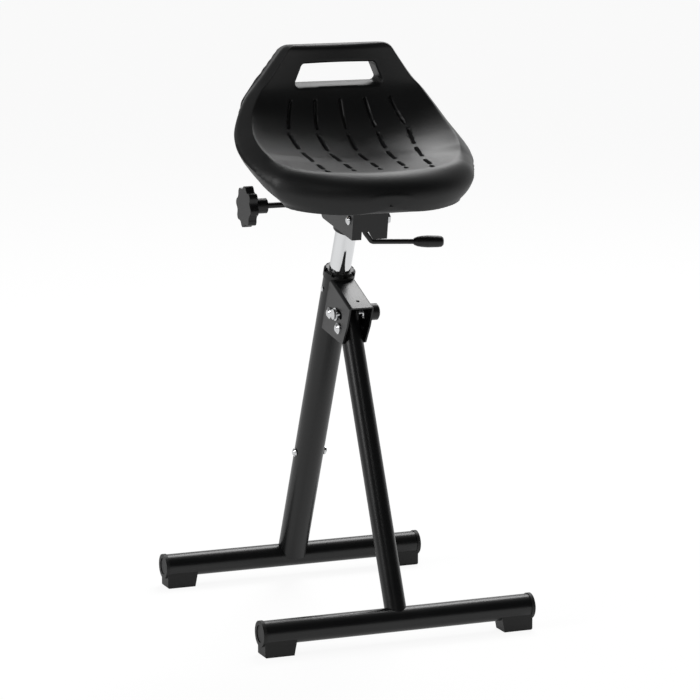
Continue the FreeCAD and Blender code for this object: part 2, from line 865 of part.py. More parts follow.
run = (run_end - run_start).normalize()
grip_frame = Placement(run_end, Rotation(Vector(0, 0, 1), run))
grip_length = number(d.grip_length)
grip = turned_body(
    "grip",
    [
        (0.0, 2.0 - grip_length),
        (d.grip_radius * 0.56, 2.0 - grip_length),
        (d.grip_radius * 0.8, -grip_length * 0.84),
        (d.grip_radius * 0.93, -grip_length * 0.7),
        (d.grip_radius, -grip_length * 0.5),
        (d.grip_radius * 0.96, -grip_length * 0.16),
        (d.grip_radius * 0.9, -2.5),
        (d.grip_radius * 0.66, 0.0),
        (0.0, 0.0),
    ],
)
grip_turned = cut(grip, cylinder(d.lever_radius, d.grip_length + 1.0, (0, 0, -grip_length - 3.0)))
beyond_rod = Placement(Vector(0, 0, 2.0), Rotation())
finish(grip_turned, "lever_grip", seat_frame.multiply(grip_frame).multiply(beyond_rod))

# Seat bracket: a plate with two cheeks inside the carrier, drawn about the tilt axis
cheek_outer = number(d.carrier_width) / 2 - number(d.carrier_sheet) - number(d.loose_gap)
cheek_sheet = 2.5
cheek_low = 10.0
plate_front = -46.0
cheeks = []
for sign in (1, -1):
    cheek = new_body("cheek")
    cheek_side = sketch_on(cheek, "YZ_Plane", sign * cheek_outer)
    polygon(
        cheek_side,
        [
            (-8.0, d.plate_height),
            (-8.0, -cheek_low),
            (d.clamp_back + 8.0, -cheek_low),
            (d.clamp_back + 12.0, d.plate_height),
        ],
    )
    pad(cheek, cheek_side, cheek_sheet, backward=sign > 0)
    cheek_holes = sketch_on(cheek, "YZ_Plane", sign * cheek_outer)
    ring(cheek_holes, d.tilt_bolt_radius)
    ring(cheek_holes, d.clamp_rod_radius + d.running, d.clamp_back, 0.0)
    pocket(cheek, cheek_holes, None, symmetric=True)
    cheeks.append(cheek)
top_plate = block(
    (d.plate_width, d.plate_length, d.plate_sheet),
    (0, plate_front + number(d.plate_length) / 2, d.plate_height + d.plate_sheet / 2),
)
screw_places = [(x, y) for x in (-42.0, 42.0) for y in (plate_front + 16.0, plate_front + 124.0)]
screw_radius = 3.0
plate_bottom = number(d.plate_height)
screw_holes = [cylinder(screw_radius, 10.0, (x, y, plate_bottom - 3.0)) for x, y in screw_places]
seat_bracket = fuse(top_plate, *cheeks)
finish(cut(seat_bracket, *screw_holes), "seat_bracket", seat_frame)

# Tilt bolt in front, clamp rod and star knob behind
tilt_bolt = round_bolt(
    "tilt", d.tilt_bolt_radius, 6.5, 3.5, -carrier_half - 0.3, carrier_half + 8.0
)
finish(tilt_bolt, "tilt_bolt", seat_frame)
tilt_nut = hex_nut(13.0, 6.5, d.tilt_bolt_radius, (carrier_half + 0.3, 0, 0))
finish(tilt_nut, "tilt_nut", seat_frame)

clamp_axis = Placement(seat_frame.multVec(Vector(0, number(d.clamp_back), 0)), seat_frame.Rotation)
nut_right = carrier_half + number(d.loose_gap)
clamp_nut = hex_nut(13.0, 8.0, d.clamp_rod_radius + d.running, (nut_right, 0, 0))
finish(clamp_nut, "clamp_nut", clamp_axis)
knob_face = -number(d.knob_reach)
hub_end = knob_face + number(d.knob_head + d.knob_hub)
shoulder_at = -carrier_half - number(d.loose_gap) - 6.0
rod_end = nut_right + 10.0
clamp_rod = fuse(
    cylinder(d.clamp_rod_radius, rod_end - hub_end + 20.0, (hub_end - 20.0, 0, 0), "X"),
    cylinder(d.clamp_rod_radius + 3.5, 6.0, (shoulder_at, 0, 0), "X"),
)
finish(clamp_rod, "clamp_rod", clamp_axis)

star = new_body("star")
star_sketch = sketch_on(star, "YZ_Plane", knob_face)
lobes = int(round(number(d.knob_lobes)))
outer = number(d.knob_radius)
step = 2 * math.pi / lobes
lobe_radius = 6.5
lobe_centre = outer - lobe_radius
valley_floor = outer - 4.6
cosine = math.cos(step / 2)
valley_radius = (
    lobe_centre ** 2 + valley_floor ** 2 - 2 * lobe_centre * valley_floor * cosine - lobe_radius ** 2
) / (2 * (lobe_radius - valley_floor + lobe_centre * cosine))
valley_centre = valley_floor + valley_radius


def toward(radius, angle):
    return Vector(radius * math.cos(angle), radius * math.sin(angle), 0)


def meeting(lobe_angle, valley_angle):
    """The point where a lobe and the valley beside it touch."""
    middle = toward(lobe_centre, lobe_angle)
    across = toward(valley_centre, valley_angle) - middle
    return middle + across.normalize() * lobe_radius


for k in range(lobes):
    angle = k * step
    before, after = meeting(angle, angle - step / 2), meeting(angle, angle + step / 2)
    following = meeting(angle + step, angle + step / 2)
    lobe = Part.Arc(before, toward(outer, angle), after)
    valley = Part.Arc(after, toward(valley_floor, angle + step / 2), following)
    star_sketch.addGeometry(lobe, False)
    star_sketch.addGeometry(valley, False)
star_pad = pad(star, star_sketch, d.knob_head)
hub_sketch = sketch_on(star, "YZ_Plane", knob_face + number(d.knob_head))
ring(hub_sketch, d.knob_hub_radius)
star_hub = pad(star, hub_sketch, d.knob_hub)
star_cut = cut(star, cylinder(d.clamp_rod_radius, 20.0, (hub_end - 20.0, 0, 0), "X"))
finish(star_cut, "star_knob", clamp_axis)

# Seat pad: a dished shell lofted through cross-sections from the top edge to the front lip
pan_top = number(d.pan_height)
underside = number(d.plate_height + d.plate_sheet)
curve = number(d.back_curve)
slope = math.radians(number(d.back_slope_angle))
bend_y, bend_z = number(d.pan_rear), pan_top + curve
wide = number(d.seat_width)
back_thick = number(d.back_thickness)
pan_thick = pan_top - underside
bend_end = curve * slope
top_end = bend_end + (number(d.back_height) - bend_z + curve * math.cos(slope)) / math.sin(slope)


def pad_station(station, lowering):
    """A place on the centre line and the direction there that faces the sitter."""
    if station <= 0:
        return Vector(0, bend_y + station, pan_top - lowering), Vector(0, 0, 1)
    turn = min(station, bend_end) / curve
    facing = Vector(0, -math.sin(turn), math.cos(turn))
    along = Vector(0, math.cos(turn), math.sin(turn)) * max(0.0, station - bend_end)
    return Vector(0, bend_y, bend_z) + along - facing * (curve + lowering), facing


def pad_section(station, ridge, rise, edge, level, depth, lowering, tuck):
    """A closed outline: dished top, rounded shoulders, leaning sides and a flat base."""
    origin, facing = pad_station(station, lowering)
    drop = rise - level
    side = [
        (ridge - 3.0, rise),
        (ridge + (edge - ridge) * 0.45, rise - drop * 0.3),
        (edge, level),
        (edge - tuck * 0.3, level + (-depth - level) * 0.5),
        (edge - tuck, -depth),
    ]
    right = [origin + Vector(x, 0, 0) + facing * height for x, height in side]
    left = [origin - Vector(x, 0, 0) + facing * height for x, height in reversed(side)]
    around = right + left
    pieces = [Part.LineSegment(a, b).toShape() for a, b in zip(around, around[1:])]
    dish = Part.Arc(left[-1], origin + facing * min(0.0, rise - 0.1), right[0])
    return Part.Wire([dish.toShape()] + pieces)


# station from the start of the bend, ridge half width, rim above the centre line,
# outer half width, its level, depth of the underside, lowering of the centre line,
# how far the underside's corner lies inside the outer half width
pad_rows = [
    (top_end, wide * 0.41, 9.0, wide * 0.435, -6.0, back_thick - 6.0, 6.0, 2.0),
    (top_end - 7.0, wide * 0.46, 9.5, wide * 0.495, -6.5, back_thick, 0.0, 2.0),
    (top_end - 26.0, wide * 0.536, 8.8, wide * 0.577, -10.0, back_thick, 0.0, 0.0),
    (bend_end, wide * 0.65, 8.0, wide * 0.684, -13.0, back_thick + 1.0, 0.0, 0.0),
    (curve * 1.2, wide * 0.722, 8.3, wide * 0.786, -14.5, back_thick + 5.0, 0.0, 2.0),
    (curve * 1.067, wide * 0.772, 9.3, wide * 0.85, -14.2, back_thick + 10.0, 0.0, 6.0),
    (curve * 0.924, wide * 0.812, 11.0, wide * 0.904, -14.0, back_thick + 15.5, 0.0, 14.0),
    (curve * 0.752, wide * 0.842, 14.0, wide * 0.953, -13.0, pan_thick + 2.0, 0.0, 32.0),
    (curve * 0.571, wide * 0.866, 16.7, wide * 0.98, -9.5, pan_thick + 8.8, 0.0, 60.0),
    (curve * 0.41, wide * 0.878, 18.0, wide * 0.995, -6.8, pan_thick + 13.7, 0.0, 76.0),
    (curve * 0.21, wide * 0.88, 17.4, wide, -5.5, pan_thick + 2.2, 0.0, 72.0),
    (0.0, wide * 0.864, 13.0, wide * 0.983, -9.0, pan_thick, 0.0, 58.0),
    (-18.0, wide * 0.822, 6.5, wide * 0.956, -14.0, pan_thick, 0.0, 40.0),
    (-38.0, wide * 0.735, 2.8, wide * 0.91, -20.0, pan_thick, 0.0, 26.0),
    (-58.0, wide * 0.59, 0.8, wide * 0.842, -27.0, pan_thick, 0.0, 18.0),
    (-76.0, wide * 0.434, 0.1, wide * 0.722, -31.0, pan_thick - 1.5, 1.5, 14.0),
    (-92.0, wide * 0.301, 0.1, wide * 0.555, -28.0, pan_thick - 7.0, 7.0, 12.0),
    (-103.0, wide * 0.181, 0.1, wide * 0.355, -20.0, pan_thick - 18.0, 16.0, 12.0),
    (-109.5, wide * 0.048, 0.1, wide * 0.1, -8.0, pan_thick - 36.0, 25.0, 8.0),
]
pad_shape = doc.addObject("Part::Feature", "pad")
pad_shape.Shape = Part.makeLoft([pad_section(*row) for row in pad_rows], True, True)

# Handle slot through the top of the pad
handle_top = number(d.back_height) - number(d.handle_drop)
handle_bottom = handle_top - number(d.handle_height)
slot_half_width = number(d.handle_width) / 2
slot_body = new_body("handle_slot")
slot_sketch = sketch_on(slot_body, "XZ_Plane")
polygon(
    slot_sketch,
    [
        (-slot_half_width, handle_bottom),
        (slot_half_width, handle_bottom),
        (slot_half_width - 11.0, handle_top),
        (-slot_half_width + 11.0, handle_top),
    ],
)
slot_pad = pad(slot_body, slot_sketch, d.back_height * 2, symmetric=True)
slot_round = soften(slot_body, slot_pad, 8.0, lambda edge, spot: edge.BoundBox.YLength > 100)
insert_middle = 20.0
insert_room = block(
    (d.insert_width + d.loose_gap * 2, d.insert_length + d.loose_gap * 2, d.insert_thickness * 2),
    (0, insert_middle, underside),
)
flat_below = block((500.0, 500.0, 80.0), (0, insert_middle, underside - 40.0))
finish(cut(pad_shape, slot_body, flat_below, insert_room), "seat_pad", seat_frame)

insert = block(
    (d.insert_width, d.insert_length, d.insert_thickness - d.loose_gap),
    (0, insert_middle, d.plate_height + d.plate_sheet + (d.insert_thickness - d.loose_gap) / 2),
)
insert_holes = [cylinder(screw_radius, 6.0, (x, y, underside)) for x, y in screw_places]
finish(cut(insert, *insert_holes), "seat_insert", seat_frame)
screws = fuse(
    *[cylinder(screw_radius, 8.5, (x, y, plate_bottom)) for x, y in screw_places],
    *[cylinder(5.5, 3.0, (x, y, plate_bottom - 3.0)) for x, y in screw_places],
)
finish(screws, "seat_screws", seat_frame)

# Checks, then one STEP file for each sub-part
doc.recompute()
failed = [
    o.Name + " " + o.getStatusString()
    for o in doc.Objects
    if "Invalid" in o.State or "Error" in o.State
]
if failed:
    raise SystemExit("failed features: " + ", ".join(failed))
for thing in nodes:
    if thing.Shape.isNull() or not thing.Shape.isValid():
        raise SystemExit("bad shape: " + thing.Label)
os.makedirs("parts", exist_ok=True)
for thing in nodes:
    thing.Shape.exportStep("parts/%s.step" % thing.Label)
    box = thing.Shape.BoundBox
    print("%-22s solids %d volume %9.0f" % (thing.Label, len(thing.Shape.Solids), thing.Shape.Volume), box)
print(len(nodes), "sub-parts")
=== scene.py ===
import json
import math
import bmesh
import bpy
from mathutils import Matrix, Vector


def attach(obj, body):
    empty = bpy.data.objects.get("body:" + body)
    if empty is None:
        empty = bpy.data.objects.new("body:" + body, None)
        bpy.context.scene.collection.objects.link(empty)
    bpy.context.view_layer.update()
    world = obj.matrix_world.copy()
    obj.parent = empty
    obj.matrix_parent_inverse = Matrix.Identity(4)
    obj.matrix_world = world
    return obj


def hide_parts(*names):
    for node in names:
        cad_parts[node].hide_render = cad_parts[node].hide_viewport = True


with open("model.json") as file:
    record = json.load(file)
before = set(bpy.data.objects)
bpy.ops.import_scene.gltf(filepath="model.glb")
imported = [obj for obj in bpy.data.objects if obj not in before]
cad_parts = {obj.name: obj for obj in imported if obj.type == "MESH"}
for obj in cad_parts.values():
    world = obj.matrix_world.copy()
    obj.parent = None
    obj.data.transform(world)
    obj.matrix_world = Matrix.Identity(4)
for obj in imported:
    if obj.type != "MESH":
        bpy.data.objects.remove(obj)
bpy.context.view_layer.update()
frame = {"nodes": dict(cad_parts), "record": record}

# Perch stool: folding base, gas lift, dished foam seat on a tilting carrier.
# Metres, Z up, the sitter faces -Y. All pieces but the seat pad are the frame's own
# nodes with a finish on them.

seatTilt = math.radians(9.0)  # slope of the seat at rest
tiltPoint = Vector((0.0, -0.089957, 0.565984))
seatPlace = Matrix.Translation(tiltPoint) @ Matrix.Rotation(seatTilt, 4, "X")


def deselectAll():
    for thing in bpy.context.selected_objects:
        thing.select_set(False)


def pick(piece):
    deselectAll()
    piece.select_set(True)
    bpy.context.view_layer.objects.active = piece


def addModifier(piece, kind, **values):
    pick(piece)
    modifier = piece.modifiers.new(kind.title(), kind)
    for key, value in values.items():
        setattr(modifier, key, value)
    bpy.ops.object.modifier_apply(modifier=modifier.name)


def settle(piece, place, material, body, angle):
    # bakes the place into the mesh, then gives it its finish and its body
    pick(piece)
    piece.matrix_world = place @ piece.matrix_world
    bpy.ops.object.transform_apply(location=True, rotation=True, scale=True)
    piece.data.materials.clear()
    piece.data.materials.append(material)
    bpy.ops.object.shade_smooth_by_angle(angle=math.radians(angle))
    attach(piece, body)


# Effects that several finishes share
def newGroup(name, inputs, outputs):
    group = bpy.data.node_groups.new(name, "ShaderNodeTree")
    for label, kind, value in inputs:
        socket = group.interface.new_socket(label, in_out="INPUT", socket_type=kind)
        socket.default_value = value
    for label, kind in outputs:
        group.interface.new_socket(label, in_out="OUTPUT", socket_type=kind)
    return group, group.nodes.new("NodeGroupInput"), group.nodes.new("NodeGroupOutput")


def mathNode(nodes, links, operation, first, second):
    node = nodes.new("ShaderNodeMath")
    node.operation = operation
    for socket, value in zip(node.inputs, (first, second)):
        if isinstance(value, (int, float)):
            socket.default_value = value
        else:
            links.new(value, socket)
    return node.outputs[0]


def makeGrain():
    # fine pebbled skin: small cells broken up by noise
    group, given, out = newGroup(
        "skinGrain",
        [("Cell Scale", "NodeSocketFloat", 900.0), ("Depth", "NodeSocketFloat", 0.00008)],
        [("Normal", "NodeSocketVector")],
    )
    nodes, links = group.nodes, group.links
    coords = nodes.new("ShaderNodeTexCoord")
    cells = nodes.new("ShaderNodeTexVoronoi")
    cells.feature = "SMOOTH_F1"
    noise = nodes.new("ShaderNodeTexNoise")
    noise.inputs["Detail"].default_value = 4.0
    links.new(coords.outputs["Object"], cells.inputs["Vector"])
    links.new(coords.outputs["Object"], noise.inputs["Vector"])
    links.new(given.outputs["Cell Scale"], cells.inputs["Scale"])
    links.new(given.outputs["Cell Scale"], noise.inputs["Scale"])
    height = mathNode(nodes, links, "ADD", cells.outputs["Distance"], noise.outputs["Fac"])
    bump = nodes.new("ShaderNodeBump")
    links.new(given.outputs["Depth"], bump.inputs["Distance"])
    links.new(height, bump.inputs["Height"])
    links.new(bump.outputs["Normal"], out.inputs["Normal"])
    return group


def makeMottle():
    # slow drift of colour and gloss, with a little dust in it
    group, given, out = newGroup(
        "surfaceMottle",
        [
            ("Colour", "NodeSocketColor", (0.02, 0.02, 0.02, 1.0)),
            ("Worn Colour", "NodeSocketColor", (0.05, 0.05, 0.05, 1.0)),
            ("Roughness", "NodeSocketFloat", 0.4),
            ("Roughness Range", "NodeSocketFloat", 0.12),
            ("Patch Scale", "NodeSocketFloat", 18.0),
            ("Amount", "NodeSocketFloat", 0.4),
        ],
        [("Colour", "NodeSocketColor"), ("Roughness", "NodeSocketFloat")],
    )
    nodes, links = group.nodes, group.links
    coords = nodes.new("ShaderNodeTexCoord")
    broad = nodes.new("ShaderNodeTexNoise")
    broad.inputs["Detail"].default_value = 6.0
    fine = nodes.new("ShaderNodeTexNoise")
    fine.inputs["Scale"].default_value = 420.0
    fine.inputs["Detail"].default_value = 3.0
    for texture in (broad, fine):
        links.new(coords.outputs["Object"], texture.inputs["Vector"])
    links.new(given.outputs["Patch Scale"], broad.inputs["Scale"])
    ramp = nodes.new("ShaderNodeMapRange")
    ramp.inputs["From Min"].default_value = 0.42
    ramp.inputs["From Max"].default_value = 0.72
    links.new(broad.outputs["Fac"], ramp.inputs["Value"])
    patches = mathNode(nodes, links, "MULTIPLY", ramp.outputs["Result"], fine.outputs["Fac"])
    share = mathNode(nodes, links, "MULTIPLY", patches, given.outputs["Amount"])
    mix = nodes.new("ShaderNodeMix")
    mix.data_type = "RGBA"
    links.new(share, mix.inputs["Factor"])
    links.new(given.outputs["Colour"], mix.inputs["A"])
    links.new(given.outputs["Worn Colour"], mix.inputs["B"])
    swing = mathNode(nodes, links, "SUBTRACT", broad.outputs["Fac"], 0.5)
    extra = mathNode(nodes, links, "MULTIPLY", swing, given.outputs["Roughness Range"])
    rough = mathNode(nodes, links, "ADD", given.outputs["Roughness"], extra)
    links.new(mix.outputs["Result"], out.inputs["Colour"])
    links.new(rough, out.inputs["Roughness"])
    return group


def makeFinePeel():
    # orange peel of a coating, or the texture of a mould, by scale and depth
    group, given, out = newGroup(
        "finePeel",
        [
            ("Scale", "NodeSocketFloat", 500.0),
            ("Depth", "NodeSocketFloat", 0.00003),
            ("Stretch", "NodeSocketVector", (1.0, 1.0, 1.0)),
        ],
        [("Normal", "NodeSocketVector")],
    )
    nodes, links = group.nodes, group.links
    coords = nodes.new("ShaderNodeTexCoord")
    stretch = nodes.new("ShaderNodeVectorMath")
    stretch.operation = "MULTIPLY"
    links.new(coords.outputs["Object"], stretch.inputs[0])
    links.new(given.outputs["Stretch"], stretch.inputs[1])
    noise = nodes.new("ShaderNodeTexNoise")
    noise.inputs["Detail"].default_value = 2.0
    links.new(stretch.outputs["Vector"], noise.inputs["Vector"])
    links.new(given.outputs["Scale"], noise.inputs["Scale"])
    bump = nodes.new("ShaderNodeBump")
    links.new(given.outputs["Depth"], bump.inputs["Distance"])
    links.new(noise.outputs["Fac"], bump.inputs["Height"])
    links.new(bump.outputs["Normal"], out.inputs["Normal"])
    return group


grainGroup = makeGrain()
mottleGroup = makeMottle()
peelGroup = makeFinePeel()


def newFinish(name, look):
    material = bpy.data.materials.new(name)
    material.use_nodes = True
    nodes, links = material.node_tree.nodes, material.node_tree.links
    shader = nodes["Principled BSDF"]
    for key, value in look.get("shader", {}).items():
        shader.inputs[key].default_value = value
    mottle = nodes.new("ShaderNodeGroup")
    mottle.node_tree = mottleGroup
    mottle.inputs["Colour"].default_value = (*look["colour"], 1.0)
    mottle.inputs["Worn Colour"].default_value = (*look["wornColour"], 1.0)
    mottle.inputs["Roughness"].default_value = look["roughness"]
    mottle.inputs["Roughness Range"].default_value = look.get("roughnessRange", 0.1)
    mottle.inputs["Patch Scale"].default_value = look.get("patchScale", 18.0)
    mottle.inputs["Amount"].default_value = look.get("amount", 0.4)
    links.new(mottle.outputs["Colour"], shader.inputs["Base Color"])
    links.new(mottle.outputs["Roughness"], shader.inputs["Roughness"])
    relief = nodes.new("ShaderNodeGroup")
    if "cellScale" in look:
        relief.node_tree = grainGroup
        relief.inputs["Cell Scale"].default_value = look["cellScale"]
    else:
        relief.node_tree = peelGroup
        relief.inputs["Scale"].default_value = look["peelScale"]
        relief.inputs["Stretch"].default_value = look.get("stretch", (1.0, 1.0, 1.0))
    relief.inputs["Depth"].default_value = look["depth"]
    links.new(relief.outputs["Normal"], shader.inputs["Normal"])
    return material


finishes = {
    "seatSkin": {
        "colour": (0.0052, 0.0056, 0.0058),
        "wornColour": (0.011, 0.0115, 0.012),
        "roughness": 0.44,
        "roughnessRange": 0.1,
        "cellScale": 820.0,
        "depth": 0.00009,
    },
    "powderCoat": {
        "colour": (0.0065, 0.0068, 0.0072),
        "wornColour": (0.014, 0.014, 0.0145),
        "roughness": 0.3,
        "peelScale": 520.0,
        "depth": 0.00005,
    },
    "footRubber": {
        "colour": (0.0075, 0.0075, 0.0075),
        "wornColour": (0.03, 0.029, 0.028),
        "roughness": 0.52,
        "patchScale": 40.0,
        "peelScale": 900.0,
        "depth": 0.00004,
    },
    "mouldedPlastic": {
        "colour": (0.0075, 0.0075, 0.008),
        "wornColour": (0.02, 0.02, 0.02),
        "roughness": 0.4,
        "peelScale": 1500.0,
        "depth": 0.00004,
    },
    "blackRod": {
        "colour": (0.009, 0.009, 0.0095),
        "wornColour": (0.03, 0.03, 0.03),
        "roughness": 0.3,
        "peelScale": 700.0,
        "depth": 0.00003,
    },
    "brightZinc": {
        "colour": (0.78, 0.79, 0.8),
        "wornColour": (0.55, 0.55, 0.54),
        "roughness": 0.22,
        "patchScale": 120.0,
        "peelScale": 600.0,
        "stretch": (0.1, 1.0, 1.0),
        "depth": 0.00002,
        "shader": {"Metallic": 1.0},
    },
    "chrome": {
        "colour": (0.86, 0.87, 0.88),
        "wornColour": (0.7, 0.71, 0.72),
        "roughness": 0.07,
        "roughnessRange": 0.05,
        "peelScale": 60.0,
        "depth": 0.00002,
        "shader": {"Metallic": 1.0},
    },
    "groundSteel": {
        "colour": (0.6, 0.6, 0.61),
        "wornColour": (0.4, 0.4, 0.4),
        "roughness": 0.25,
        "peelScale": 900.0,
        "stretch": (1.0, 1.0, 0.05),
        "depth": 0.00002,
        "shader": {"Metallic": 1.0},
    },
    "boardFace": {
        "colour": (0.42, 0.29, 0.17),
        "wornColour": (0.2, 0.12, 0.06),
        "roughness": 0.6,
        "amount": 0.9,
        "peelScale": 160.0,
        "stretch": (0.08, 1.0, 1.0),
        "depth": 0.0001,
    },
}
materials = {name: newFinish(name, look) for name, look in finishes.items()}

# finish of each material slot of the frame's nodes
slotFinish = {
    "frame_paint": "powderCoat",
    "foot_rubber": "footRubber",
    "black_plastic": "mouldedPlastic",
    "black_rod": "blackRod",
    "zinc_fasteners": "brightZinc",
    "chrome_lift": "chrome",
    "steel_rod": "groundSteel",
    "insert_board": "boardFace",
    "seat_skin": "seatSkin",
}
for row in frame["record"]["subparts"]:
    node = frame["nodes"][row["node"]]
    material = materials[slotFinish[row["material_slot"]]]
    for slot in node.material_slots:
        slot.material = material
print("finishes on", len(frame["nodes"]), "frame nodes")


# Seat pad: one moulded foam shell, drawn in the seat's own frame in millimetres
def smoothTable(rows, at):
    # value at a station, on a smooth curve through rows of station and value
    rows = sorted(rows)
    if at <= rows[0][0]:
        return rows[0][1]
    for k in range(len(rows) - 1):
        if at <= rows[k + 1][0]:
            break
    (x0, y0), (x1, y1) = rows[k], rows[k + 1]
    slopes = []
    for j in (k, k + 1):
        if 0 < j < len(rows) - 1:
            slopes.append((rows[j + 1][1] - rows[j - 1][1]) / (rows[j + 1][0] - rows[j - 1][0]))
        else:
            near = rows[min(j + 1, len(rows) - 1)]
            far = rows[max(j - 1, 0)]
            slopes.append((near[1] - far[1]) / (near[0] - far[0]))
    step = x1 - x0
    u = min(1.0, (at - x0) / step)
    a = 2 * u ** 3 - 3 * u ** 2 + 1
    b = u ** 3 - 2 * u ** 2 + u
    return a * y0 + b * step * slopes[0] + (1 - a) * y1 + (u ** 3 - u ** 2) * step * slopes[1]


seatPad = {
    "bendCentre": (28.0, 186.0),
    "bendRadius": 105.0,
    "backSlope": math.radians(78.0),
    "topStation": 191.8,
    "topRound": 9.0,
    "noseY": -82.0,
    "sideWidth": 166.0,
    "planCentre": 40.0,
    "planPower": 2.2,
    # stations run up the back from the start of the bend; below it they run to the front
    "ridgeWidth": [
        (192, 73), (185, 76.5), (166, 89), (143, 108), (126, 120), (112, 128), (97, 135), (79, 140),
        (60, 144), (43, 146), (22, 146), (0, 143.5), (-18, 137.5), (-38, 124), (-58, 100), (-70, 76),
        (-82, 44), (-92, 26), (-110, 6),
    ],
    "rimRise": [
        (192, 10), (185, 9.5), (166, 8.8), (143, 8), (126, 8.3), (112, 9.3), (97, 11), (79, 14),
        (60, 16.7), (43, 18), (22, 17.4), (0, 13), (-18, 6.5), (-38, 2.8), (-58, 0.8), (-76, 0.1),
        (-110, 0),
    ],
    "edgeWidth": [
        (192, 78), (185, 82), (166, 95.8), (143, 113.5), (126, 130.5), (112, 141), (97, 150),
        (79, 158), (60, 162.7), (43, 165.2), (22, 166), (0, 163.2), (-18, 158.7), (-38, 151),
        (-58, 140),
    ],
    "edgeLevel": [
        (192, -5), (166, -10), (143, -13), (126, -14.5), (97, -14), (79, -13), (60, -9.5),
        (43, -6.8), (22, -5.5), (0, -9), (-18, -14), (-38, -20), (-58, -27), (-76, -31), (-110, -33),
    ],
    "thickness": [
        (192, 30), (166, 30), (143, 31), (126, 35), (112, 40), (97, 45.5), (79, 54.5), (60, 61.3),
        (43, 66), (22, 54.7), (0, 52.5), (-110, 52.5),
    ],
    "tuck": [
        (192, 3), (143, 1), (126, 3), (112, 7), (97, 15), (79, 32), (60, 60), (43, 76), (22, 72),
        (0, 58), (-18, 40), (-38, 26), (-58, 18), (-76, 14), (-110, 12),
    ],
    "bottomLine": [(0, 28.5), (-85, 28.5), (-100, 30), (-107, 35), (-110, 42)],
    # from noseStart on, the outline goes over from the table to an oval
    "noseStart": -40.0,
    "noseBlend": 15.0,
    # keep the tables from crossing: shares of the half width and of the thickness, and a gap
    "ridgeMost": 0.93,
    "baseLeast": 0.5,
    "levelLowest": 0.72,
    "levelGap": 3.0,
    # side above the widest line, as shares of its width and its fall, then below it
    "nearCrest": (0.45, 0.3),
    "nearEdge": (0.1, 0.3),
    "underEdge": (0.27, 0.48),
    "overFoot": (0.2, 0.16),
    "flankDraw": 1.0,
    "footInset": 4.0,
    # each half ring: many points over the seating face, fewer round the side and beneath
    "facePoints": 104,
    "sidePoints": 60,
    "sideCrowding": 1.5,  # above 1 the side's points crowd toward the crest
    # rings: by angle round the nose in degrees, at even steps up to the top edge, then round it
    "noseRings": 70,
    "noseTurn": 89.2,
    "noseStep": 0.8,
    "ringStep": 1.5,
    "topGap": 1.0,
    "topRings": 9,
    # the lip falls away over this reach, from a crest that is crisp at the sides, soft in front
    "lipReach": [(0, 20), (-38, 25), (-58, 29), (-80, 36), (-110, 38)],
    "lipPower": [(0, 1.35), (-25, 1.6), (-50, 2.0), (-110, 2.1)],
    "lipPoints": 9,
    "lipBlend": 25.0,
    "crestRounds": 5,
    "crestSpan": 2,
    "crestShare": 0.4,
}

# Grooves moulded into the seating face: five columns, in rows by station
vents = {
    # upper end, lower end, column pitch at each
    "rows": [
        (113, 71, 37, 43), (59, 26, 44, 42.4), (11, -17, 41.7, 40), (-34, -51, 39, 39),
        (-61, -64, 38, 38),
    ],
    "columns": (-2, -1, 0, 1, 2),
    "floorHalf": 1.0,
    "mouthHalf": 3.2,
    "depth": 4.2,
    "pastEnds": 4,  # how far past its ends a row is looked at
}

# Hand slot through the back, in the seat's own upright plane
handSlot = {
    "heights": (154.5, 186.3),
    "halfWidths": (64.5, 56.0),
    "cornerRadius": 6.5,
    "cornerSteps": 6,
    "edgeRound": 3.0,
    "lowestStation": 105.0,  # the slot's edge touches no ring below this
    "cutFrom": 80.0,
    "cutTo": 230.0,
}


curveSteps = 16  # straight pieces between two points of a curve
mergeGap = 0.00002


def curveThrough(points, shares):
    # points at the given shares of the length of a smooth curve through a few points
    ends = [points[0] * 2 - points[1]] + points + [points[-1] * 2 - points[-2]]
    dense = []
    for p0, p1, p2, p3 in zip(ends, ends[1:], ends[2:], ends[3:]):
        for k in range(curveSteps):
            u = k / curveSteps
            bent = (p0 * 2 - p1 * 5 + p2 * 4 - p3) * u * u
            twisted = (p1 * 3 - p0 - p2 * 3 + p3) * u ** 3
            dense.append(0.5 * (p1 * 2 + (p2 - p0) * u + bent + twisted))
    dense.append(points[-1])
    lengths = [0.0]
    for a, b in zip(dense, dense[1:]):
        lengths.append(lengths[-1] + (b - a).length)
    found, k = [], 0
    for share in shares:
        goal = lengths[-1] * share
        while k < len(dense) - 2 and lengths[k + 1] < goal:
            k += 1
        span = max(lengths[k + 1] - lengths[k], 1e-9)
        found.append(dense[k].lerp(dense[k + 1], (goal - lengths[k]) / span))
    return found


def seatStation(station):
    # origin on the centre line and the direction that faces the sitter
    centreY, centreZ = seatPad["bendCentre"]
    radius, slope = seatPad["bendRadius"], seatPad["backSlope"]
    if station <= 0:
        return Vector((0, centreY + station, centreZ - radius)), Vector((0, 0, 1))
    turn = min(station / radius, slope)
    outward = Vector((0, math.sin(turn), -math.cos(turn)))
    origin = Vector((0, centreY, centreZ)) + outward * radius
    origin += Vector((0, math.cos(turn), math.sin(turn))) * max(0.0, station - slope * radius)
    return origin, -outward


def ventDepth(x, station):
    # how far a groove sinks the seating face at this place
    look = vents
    for top, low, topPitch, lowPitch in look["rows"]:
        if low - look["pastEnds"] < station < top + look["pastEnds"]:
            for column in look["columns"]:
                start = Vector((column * lowPitch, low))
                run = Vector((column * topPitch, top)) - start
                place = Vector((x, station)) - start
                share = min(1.0, max(0.0, place.dot(run) / run.dot(run)))
                away = (place - run * share).length
                if away < look["mouthHalf"]:
                    wall = look["mouthHalf"] - look["floorHalf"]
                    t = min(1.0, (look["mouthHalf"] - away) / wall)
                    return look["depth"] * t * t * (3 - 2 * t)
    return 0.0


